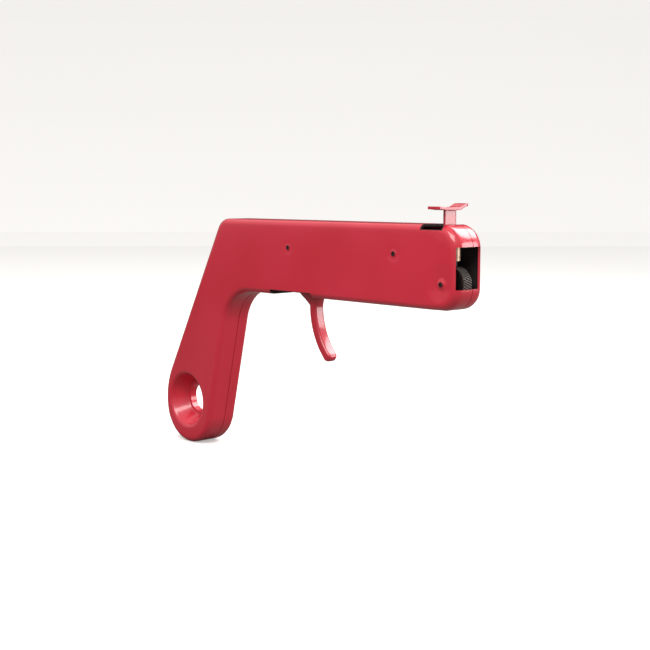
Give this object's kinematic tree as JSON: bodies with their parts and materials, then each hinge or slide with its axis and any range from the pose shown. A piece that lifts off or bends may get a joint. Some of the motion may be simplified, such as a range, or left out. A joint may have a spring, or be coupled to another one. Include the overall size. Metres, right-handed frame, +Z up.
{
  "type": "flint spark lighter gun",
  "caption": "Pistol-shaped flint spark lighter in folded sheet steel: a finger trigger drives a rack that spins a serrated wheel against a flint behind the muzzle.",
  "frame": {"origin": "centre of the hanging hole in the handle, on the middle plane of the body", "axes": "+X along the barrel to the muzzle, +Y to the left side of someone holding it, +Z up to the top of the barrel"},
  "size_m": [0.1831, 0.018, 0.1132],
  "materials": {
    "red_enamel": "gloss enamel on pressed steel",
    "plated_steel": "zinc plated",
    "spring_steel": "oiled music wire",
    "hard_steel": "hardened, file cut",
    "brass": "drawn tube, dull",
    "ferrocerium": "matt pressed flint"
  },
  "bodies": {
    "housing": {"right_shell": "red_enamel", "left_shell": "red_enamel", "hang_eyelet": "red_enamel", "trigger_pin": "plated_steel", "lever_pin_rivet": "plated_steel", "wheel_axle": "plated_steel", "trigger_spacer_right": "plated_steel", "trigger_spacer_left": "plated_steel", "lever_spacer_right": "plated_steel", "lever_spacer_left": "plated_steel", "wheel_spacer_right": "plated_steel", "wheel_spacer_left": "plated_steel", "flint_tube": "brass", "flint_bracket": "plated_steel", "flint": "ferrocerium", "rear_guide": "plated_steel", "front_guide": "plated_steel", "trigger_spring": "spring_steel", "lever_spring": "spring_steel"},
    "trigger": {"trigger_blade": "red_enamel", "trigger_bush": "brass", "drive_pin": "plated_steel"},
    "bar": {"rack_bar": "plated_steel"},
    "wheel": {"spark_wheel": "hard_steel", "wheel_pinion": "plated_steel"},
    "flint_arm": {"flint_lever": "plated_steel", "tee_strip": "red_enamel", "tee_rivets": "plated_steel", "flint_plunger": "brass"}
  },
  "joints": [
    {"name": "trigger_pull", "type": "hinge", "parent": "housing", "child": "trigger", "pos_m": [0.0738, 0, 0.074], "axis": [0, 1, 0], "range_deg": [0, 28], "stiffness_Nm_per_rad": 0.3, "springref_deg": -22.92, "deforming": ["trigger_spring"]},
    {"name": "bar_slide", "type": "slide", "parent": "housing", "child": "bar", "axis": [-1, 0, 0], "range_m": [0, 0.00485]},
    {"name": "wheel_spin", "type": "hinge", "parent": "housing", "child": "wheel", "pos_m": [0.1588, 0, 0.0635], "axis": [0, 1, 0], "range_deg": [0, 80]},
    {"name": "flint_arm_lift", "type": "hinge", "parent": "housing", "child": "flint_arm", "pos_m": [0.1347, 0, 0.0738], "axis": [0, -1, 0], "range_deg": [0, 14], "stiffness_Nm_per_rad": 0.05, "springref_deg": -17.19, "deforming": ["lever_spring"]}
  ],
  "couplings": [
    {"joint": "bar_slide", "follows": "trigger_pull", "m_per_rad": 0.0099008},
    {"joint": "wheel_spin", "follows": "trigger_pull", "ratio": 2.8288}
  ]
}
